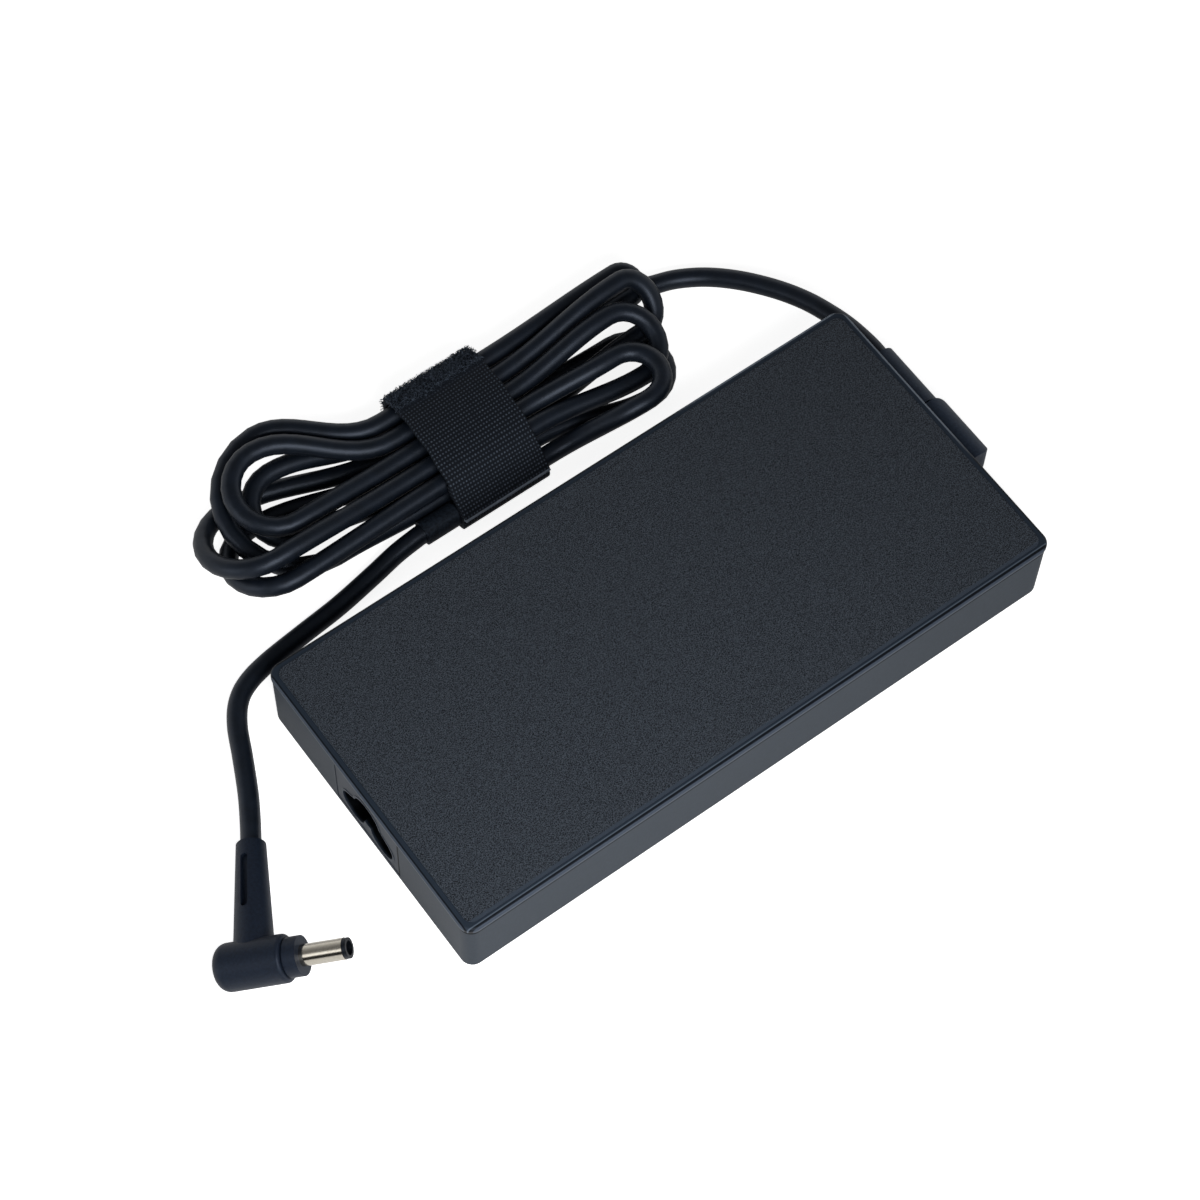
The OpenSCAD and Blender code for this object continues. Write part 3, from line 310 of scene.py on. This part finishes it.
cord_d = 4.4 * mm
hank = Vector((-6.5, 62.8, 0)) * mm  # middle of the strap
pitch = 1.14 * cord_d
strap_w = 22.3 * mm
strap_t = 1.6 * mm
strap_gap = 0.2 * mm
low_strand = cord_d / 2 + strap_gap + strap_t
layers = (low_strand, low_strand + 1.2 * cord_d)
arm_root = 0.4  # share of an arm's length that keeps straight at the strap
arm_end = 0.35  # and at its lobe
waist = strap_w / 2 + 0.4 * cord_d
cord_exit = Vector((78.4, 24.5, 9.75)) * mm
hank_start = hank + cord_d * Vector((13.3, 2.3, 0.5))
hank_end = Vector((hank.x - strap_w / 2 - 9.5 * mm, hank.y - 2.5 * pitch, layers[0]))
plug_at = Vector((-110.2, -11.6, 6.8481)) * mm
boot_l = 27.5 * mm
boot_end_z = 3.25 * mm
boot_turn = math.radians(58.5)
boot_drop = math.asin((plug_at.z - boot_end_z) / boot_l)
boot_way = Vector((math.cos(boot_drop) * math.cos(boot_turn), math.cos(boot_drop) * math.sin(boot_turn),
                   -math.sin(boot_drop)))
boot_end = plug_at + boot_l * boot_way


def bezier(a, b, c, e, t):
    return (1 - t) ** 3 * a + 3 * t * (1 - t) ** 2 * b + 3 * t * t * (1 - t) * c + t ** 3 * e


def through(points, steps):
    """Smooth curve through points, with so many steps to each."""
    line = []
    for i, (b, c) in enumerate(zip(points, points[1:])):
        a = points[i - 1] if i else 2 * b - c
        e = points[i + 2] if i + 2 < len(points) else 2 * c - b
        for k in range(steps):
            t = k / steps
            line.append(0.5 * (2 * b + (c - a) * t + (2 * a - 5 * b + 4 * c - e) * t * t
                               + (3 * b - a - 3 * c + e) * t ** 3))
    return line + [points[-1]]


def strand(side, column, layer):
    """Point where a strand meets the strap's edge."""
    return Vector((hank.x + side * waist, hank.y + (column - 2.5) * pitch, layers[layer]))


def lobe(side, out, back_in, centre, radius, shoulders, steps=12):
    """Out along an arm, round the lobe's tip and back to the strap."""
    a = strand(side, *out)
    b = strand(side, *back_in)
    turn = 1 if a.y > b.y else -1
    middle = hank + cord_d * Vector((*centre, 0))
    r = radius * cord_d
    za, zb = (cord_d * s for s in shoulders)
    ta = middle + Vector((0, turn * r, za))
    tb = middle + Vector((0, -turn * r, zb))
    la = Vector((side * (ta - a).length, 0, 0))
    lb = Vector((side * (tb - b).length, 0, 0))
    line = [bezier(a, a + arm_root * la, ta - arm_end * la, ta, k / steps) for k in range(steps)]
    for k in range(steps):
        u = math.pi * k / steps
        line.append(middle + Vector((side * r * math.sin(u), turn * r * math.cos(u),
                                     za + (zb - za) * (1 - math.cos(u)) / 2)))
    return line + [bezier(tb, tb - arm_end * lb, b + arm_root * lb, b, k / steps) for k in range(steps + 1)]


# Column and layer of the strand out and of the strand back, then the lobe's centre, radius
# and shoulder heights in cord diameters, in the order the cord is wound
lobes = [
    (-1, (5, 0), (2, 0), (-9, 1.9), 1.9, (2, 1.5)),
    (1, (2, 0), (4, 1), (11, 0.9), 1.1, (1.6, 3.4)),
    (-1, (4, 1), (3, 1), (-9.4, 2.5), 2.1, (3.3, 2.7)),
    (1, (3, 1), (1, 1), (9.4, -0.8), 1.6, (3.2, 1.9)),
    (-1, (1, 1), (3, 0), (-11.1, 0.3), 2.2, (2.2, 0.5)),
    (1, (3, 0), (1, 0), (9.4, -1.2), 1.8, (0.5, 0.5)),
    (-1, (1, 0), (5, 1), (-8.6, 2.1), 3.6, (1.1, 2.5)),
    (1, (5, 1), (4, 0), (11.5, 2.4), 0.7, (2.2, 1.8)),
    (-1, (4, 0), (2, 1), (-11.5, 1.5), 2.4, (0.8, 3.1)),
    (1, (2, 1), (0, 0), (8.3, -2.7), 1.5, (3, 3.1)),
]

# Shares of the way from the case to the hank in x, y and z
case_run = [(0, 0.09, 0), (0.02, 0.22, 0.05), (0.06, 0.34, 0.15), (0.12, 0.47, 0.31), (0.23, 0.61, 0.49),
            (0.395, 0.76, 0.71), (0.58, 0.88, 0.91), (0.795, 0.96, 0.99)]
# Millimetres in x and y from the hank's end and from the boot's end, and a share of its height
after_hank = [(-6, -0.3, 0.52), (-13, -1.4, 0.1), (-23, -3.1, 0), (-33, -4.2, 0)]
before_boot = [(26, 33.2, 0), (20, 31.6, 0), (16, 29, 0), (12.8, 24.6, 0), (9.8, 18.1, 0.05), (6, 10.2, 0.3)]
on_table = cord_d / 2 + 0.02 * mm


def lying(end, offsets):
    """Points near one end, on the table where their share of its height is 0."""
    return [Vector((end.x + x * mm, end.y + y * mm, on_table + share * (end.z - on_table)))
            for x, y, share in offsets]


way = hank_start - cord_exit
rising = [cord_exit + Vector((f[0] * way.x, f[1] * way.y, f[2] * way.z)) for f in case_run]
line = through([cord_exit, *rising, hank_start], 6)
first = strand(1, 5, 0)
reach = (first - hank_start).length
start_way = Vector((-0.93, 0.36, 0)).normalized()
line += [bezier(hank_start, hank_start + 0.3 * reach * start_way, first + Vector((0.35 * reach, 0, 0)), first,
                k / 12) for k in range(1, 13)]
for row in lobes:
    line += lobe(*row)
line += through([hank_end, *lying(hank_end, after_hank), *lying(boot_end, before_boot),
                 boot_end + 1.2 * cord_d * boot_way, boot_end], 6)

curve = bpy.data.curves.new("output_cord", "CURVE")
curve.dimensions = "3D"
curve.bevel_depth = cord_d / 2
curve.bevel_resolution = 6
curve.use_fill_caps = True
spline = curve.splines.new("POLY")
spline.points.add(len(line) - 1)
for point, place in zip(spline.points, line):
    point.co = (*place, 1)
spline.use_smooth = True
cord = bpy.data.objects.new("output_cord", curve)
scene.collection.objects.link(cord)

# Satin, so that every strand carries one soft line of light
sheath_pvc = moulded("satin PVC sheath", "#0b1017", "#10161f", 3 * mm, roughness=0.42, level=0.4,
                     bump=0.05)[0]
curve.materials.append(sheath_pvc)
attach(cord, "root")
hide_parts("cord_case_run", "cord_hank", "cord_plug_run")

# ------------------------------------------------------------------ strap and keeper
# Black hook-and-loop tape: a nylon weave whose loops are brushed up to a pile along one side.
# It goes once round the hank, pulled tight, and its cut end is pressed on over the near side.
# A moulded keeper holds it on the cord.

tape_t = 1.2 * mm
first_layer = cord_d / 2 + strap_gap + strap_t - tape_t / 2
second_layer = first_layer + 1.0 * mm
end_turn = 0.3  # how far round the near edge the overlapping end goes, in radians
crown = 2.0 * mm
slip = 1.5 * mm  # how far the far side of the band has slipped along the hank
ripple = 0.1 * mm
step_l = 0.45 * mm


def tape_line(lift):
    """Section of the tape as (y, z) points: from under the overlap once round and over itself."""
    near_low, far_low, far_high, near_high = (
        Vector((hank.y + (column - 2.5) * pitch, layers[layer]))
        for column, layer in ((0, 0), (5, 0), (5, 1), (1, 1)))
    slant = (near_low - near_high).normalized()
    slope = math.atan2(-slant.x, slant.y)
    turns = [(near_high, slope, slope, 0), (near_low, slope, 1.5 * math.pi, 0),
             (far_low, -0.5 * math.pi, 0, 0), (far_high, 0, 0.5 * math.pi, 0),
             (near_high, 0.5 * math.pi, slope, 1), (near_low, slope, slope + end_turn, 1)]
    points = []
    for corner, a, b, over in turns:
        r = lift + (second_layer if over else first_layer)
        for k in range(13):
            u = a + (b - a) * k / 12
            points.append(corner + r * Vector((math.cos(u), math.sin(u))))
    return points


def evenly(points, step):
    """The same line with its points at an even spacing, and its length."""
    marks = [0]
    for a, b in zip(points, points[1:]):
        marks.append(marks[-1] + (b - a).length)
    count = round(marks[-1] / step)
    line = []
    k = 0
    for i in range(count + 1):
        at = marks[-1] * i / count
        while k < len(points) - 2 and marks[k + 1] < at:
            k += 1
        share = (at - marks[k]) / max(marks[k + 1] - marks[k], 1e-9)
        line.append(points[k].lerp(points[k + 1], min(1, share)))
    return line, marks[-1]


def tape_sheet(name, lift, part=(0, 1)):
    """Part of the tape's surface. Its UV map is the place across and along the tape in millimetres."""
    line, length = evenly(tape_line(lift), step_l)
    columns = round(strap_w / step_l)
    middle = hank.y + 0.5 * pitch
    half = 2.2 * pitch
    low_y = hank.y - 2.5 * pitch
    high_y = hank.y + 2.5 * pitch
    verts, faces = [], []
    for i, point in enumerate(line):
        bulge = max(0, 1 - ((point.x - middle) / half) ** 2) if point.y > layers[1] else 0
        shift = slip * min(1, max(0, (point.x - low_y) / (high_y - low_y)))
        for k in range(columns + 1):
            x = strap_w * (k / columns - 0.5)
            wave = ripple * math.sin(i * 0.35) * (2 * k / columns - 1)
            verts.append((hank.x + x + wave + shift, point.x, point.y + crown * bulge))
    for i in range(round(part[0] * (len(line) - 1)), round(part[1] * (len(line) - 1))):
        for k in range(columns):
            a = i * (columns + 1) + k
            faces.append((a, a + columns + 1, a + columns + 2, a + 1))
    mesh = bpy.data.meshes.new(name)
    mesh.from_pydata(verts, [], faces)
    uv = mesh.uv_layers.new(name="tape")
    for loop in mesh.loops:
        i, k = divmod(loop.vertex_index, columns + 1)
        uv.data[loop.index].uv = (strap_w / mm * k / columns, length / mm * i / (len(line) - 1))
    sheet = bpy.data.objects.new(name, mesh)
    scene.collection.objects.link(sheet)
    return sheet


tape_l = evenly(tape_line(0), step_l)[1]
strap = tape_sheet("hook_and_loop_strap", 0)
strap.data.polygons.foreach_set("use_smooth", [True] * len(strap.data.polygons))
wall = strap.modifiers.new("thickness", "SOLIDIFY")
wall.thickness = tape_t
wall.offset = 0

# Matt black weave with a grey dot where each thread comes up. Places and sizes are in millimetres
# along the tape. The pile covers the far side and the first few millimetres of the top.
warp_gap, weft_gap = 0.75, 0.9
pile_from, pile_to = 43.0, 59.5
tape_end = tape_l / mm
tape, tree, shader = shaded("woven nylon tape", 0.75, 0.25)
place = add(tree, "ShaderNodeUVMap", uv_map="tape").outputs[0]
across = add(tree, "ShaderNodeSeparateXYZ", {0: place})
along = across.outputs["Y"]
warp = maths(tree, "SINE", maths(tree, "MULTIPLY", across.outputs["X"], 2 * math.pi / warp_gap))
weft = maths(tree, "SINE", maths(tree, "MULTIPLY", along, 2 * math.pi / weft_gap))
dot = maths(tree, "MULTIPLY", ramp(tree, warp, -0.6, 1), ramp(tree, weft, -0.2, 1))
uneven = add(tree, "ShaderNodeTexNoise", {"Vector": place, "Scale": 0.9, "Detail": 3.0})
thread = maths(tree, "MULTIPLY", dot, ramp(tree, uneven.outputs[0], 0.3, 0.7, low=0.35))
pile = maths(tree, "MULTIPLY", ramp(tree, along, pile_from, pile_from + 1),
             ramp(tree, along, pile_to - 1, pile_to + 1, low=1.0, high=0.0))
fibre = add(tree, "ShaderNodeTexNoise", {"Vector": place, "Scale": 3.5, "Detail": 4.0,
                                         "Roughness": 0.7}).outputs[0]
cut_edge = ramp(tree, along, tape_end - 0.7, tape_end - 0.5)
woven = blend(tree, thread, "#080b10", "#56606d")
brushed = blend(tree, ramp(tree, fibre, 0.45, 0.75), "#080b11", "#3b4451")
face = blend(tree, pile, woven, brushed)
tree.links.new(blend(tree, cut_edge, face, "#8f98a6"), shader.inputs["Base Color"])
relief = add(tree, "ShaderNodeMix", {0: pile, 2: thread, 3: fibre})
bump = add(tree, "ShaderNodeBump", {"Strength": 0.7, "Distance": 0.2 * mm, "Height": relief.outputs[0]})
tree.links.new(bump.outputs[0], shader.inputs["Normal"])
strap.data.materials.append(tape)

# The brushed loops stand up from the tape's far side as short curled fibres. One fibre is drawn
# about 1 long, and the fibre length scales it.
pile_tree = bpy.data.node_groups.new("brushed pile", "GeometryNodeTree")
pile_tree.interface.new_socket("Geometry", in_out="INPUT", socket_type="NodeSocketGeometry")
dense = pile_tree.interface.new_socket("Fibres per square metre", in_out="INPUT",
                                       socket_type="NodeSocketFloat")
fibre_l = pile_tree.interface.new_socket("Fibre length", in_out="INPUT", socket_type="NodeSocketFloat")
pile_tree.interface.new_socket("Geometry", in_out="OUTPUT", socket_type="NodeSocketGeometry")
given = add(pile_tree, "NodeGroupInput")
roots = add(pile_tree, "GeometryNodeDistributePointsOnFaces", {
    "Mesh": given.outputs["Geometry"], "Density": given.outputs["Fibres per square metre"], "Seed": 7})
bend = add(pile_tree, "GeometryNodeCurveQuadraticBezier", {
    "Resolution": 3, "Start": (0, 0, -0.3), "Middle": (0.1, 0, 0.9), "End": (0.8, 0, 0.5)})
round_thread = add(pile_tree, "GeometryNodeCurvePrimitiveCircle", {"Resolution": 3, "Radius": 0.07})
thread_mesh = add(pile_tree, "GeometryNodeCurveToMesh", {
    "Curve": bend.outputs["Curve"], "Profile Curve": round_thread.outputs["Curve"]})
tilt = add(pile_tree, "FunctionNodeRandomValue", {0: (-0.8, -0.8, -3.14), 1: (0.8, 0.8, 3.14), "Seed": 3},
           data_type="FLOAT_VECTOR")
turned = add(pile_tree, "FunctionNodeRotateRotation", {
    "Rotation": roots.outputs["Rotation"], "Rotate By": tilt.outputs[0]}, rotation_space="LOCAL")
stretch = add(pile_tree, "FunctionNodeRandomValue", {2: 0.5, 3: 1.3, "Seed": 5}, data_type="FLOAT")
tall = maths(pile_tree, "MULTIPLY", stretch.outputs[1], given.outputs["Fibre length"])
fibres = add(pile_tree, "GeometryNodeInstanceOnPoints", {
    "Points": roots.outputs["Points"], "Instance": thread_mesh.outputs["Mesh"],
    "Rotation": turned.outputs["Rotation"], "Scale": tall})
real = add(pile_tree, "GeometryNodeRealizeInstances", {"Geometry": fibres.outputs["Instances"]})

# Dull, with painted shade and painted light from a noise: dark for loops in the others' shade, light where a
# loop stands out
brushed_nylon = moulded("brushed nylon loops", "#070b11", "#5b6675", 0.4 * mm, roughness=0.8, level=0.2)[0]
finished = add(pile_tree, "GeometryNodeSetMaterial", {"Geometry": real.outputs["Geometry"],
                                                      "Material": brushed_nylon})
add(pile_tree, "NodeGroupOutput", {"Geometry": finished.outputs["Geometry"]})

base = tape_sheet("pile_base", tape_t / 2, (pile_from / tape_end, (pile_to - 0.5) / tape_end))
grow = base.modifiers.new("pile", "NODES")
grow.node_group = pile_tree
grow[dense.identifier] = 1.2e7
grow[fibre_l.identifier] = 0.95 * mm
shape = bpy.data.meshes.new_from_object(base.evaluated_get(bpy.context.evaluated_depsgraph_get()))
pile_piece = bpy.data.objects.new("strap_pile", shape)
scene.collection.objects.link(pile_piece)
bpy.data.objects.remove(base)
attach(pile_piece, "root")

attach(strap, "root")
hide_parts("cord_strap")

# A fine knurl, with painted shade in its hollows and a lighter grey on its tops
keeper_pvc = moulded("knurled keeper PVC", "#0b0f15", "#1f2731", 0.5 * mm, roughness=0.55, bump=0.3)[0]
dress("strap_keeper", keeper_pvc)

# ------------------------------------------------------------------ plug
# Right-angle plug: PVC moulded over the end of the cord, a nickel-plated barrel, and a black
# insulator that shows as a ring at its tip.

# The body is a soft satin with a faint grain. The insulator is nearly black and smoother.
plug_pvc = moulded("moulded plug PVC", "#0f1520", "#141c29", 0.6 * mm, bump=0.15)[0]
insulator_nylon = moulded("black insulator", "#080a0d", "#0d1015", 0.5 * mm, roughness=0.35)[0]
plug_pieces = {"plug_body": plug_pvc, "plug_collar": plug_pvc, "plug_barrel": nickel,
               "plug_center_pin": nickel, "plug_insulator": insulator_nylon}
for piece, material in plug_pieces.items():
    dress(piece, material)

# ------------------------------------------------------------------ electronics
# Sealed inside the case: the board and what it carries. Each row names the piece's finish, its
# dark and light tone, and its roughness.

inner = {
    "circuit_board": ("solder mask", "#1a5233", "#24663e", 0.35),
    "insulating_liner": ("insulating board", "#ab945f", "#bea774", 0.7),
    "heat_spreader": ("mill aluminium", "#b6b9bc", "#cbcdcf", 0.35),
    "thermal_pads": ("silicone pad", "#858f99", "#949ea7", 0.6),
    "mains_wires": ("wire insulation", "#70291c", "#833627", 0.45),
    "output_wires": ("output wire insulation", "#821d1d", "#962727", 0.45),
    "mains_fuse": ("box fuse moulding", "#452e1e", "#563b28", 0.4),
    "surge_varistor": ("varistor coating", "#1f5391", "#2961a6", 0.4),
    "inrush_thermistor": ("thermistor coating", "#243326", "#304132", 0.5),
    "filter_choke_cores": ("painted ferrite", "#3f5844", "#4d6852", 0.5),
    "filter_choke_windings": ("enamelled copper", "#9d5b25", "#b56d32", 0.3),
    "filter_capacitors": ("film capacitor case", "#c0992d", "#d1a937", 0.4),
    "bridge_rectifier": ("rectifier epoxy", "#18191b", "#212224", 0.5),
    "boost_inductor": ("inductor tape", "#c2aa45", "#d3bc54", 0.4),
    "bulk_capacitor": ("capacitor sleeve", "#262a50", "#31355f", 0.35),
    "primary_switch": ("switch epoxy", "#151618", "#1e1f21", 0.5),
    "primary_heat_sink": ("heat sink aluminium", "#a8abae", "#bdc0c3", 0.4),
    "transformer_core": ("bare ferrite", "#2a2a2c", "#353537", 0.6),
    "transformer_bobbin": ("phenolic bobbin", "#d0c8ad", "#dfd8c0", 0.5),
    "transformer_winding": ("transformer wire", "#ac7019", "#c38226", 0.35),
    "output_rectifier": ("rectifier moulding", "#151618", "#1e1f21", 0.5),
    "output_heat_sink": ("output sink aluminium", "#a8abae", "#bdc0c3", 0.4),
    "output_capacitors": ("can sleeve", "#212544", "#2c3052", 0.35),
    "output_choke": ("sleeved choke", "#444c54", "#545c65", 0.4),
    "optocoupler": ("white epoxy", "#d4d4cd", "#e3e3de", 0.5),
    "control_chips": ("chip epoxy", "#101113", "#191a1c", 0.5)}
for piece, (name, dark, light, roughness) in inner.items():
    bare_metal = 1.0 if "aluminium" in name else 0.0
    dress(piece, moulded(name, dark, light, 2 * mm, roughness, level=0.5, metallic=bare_metal)[0])
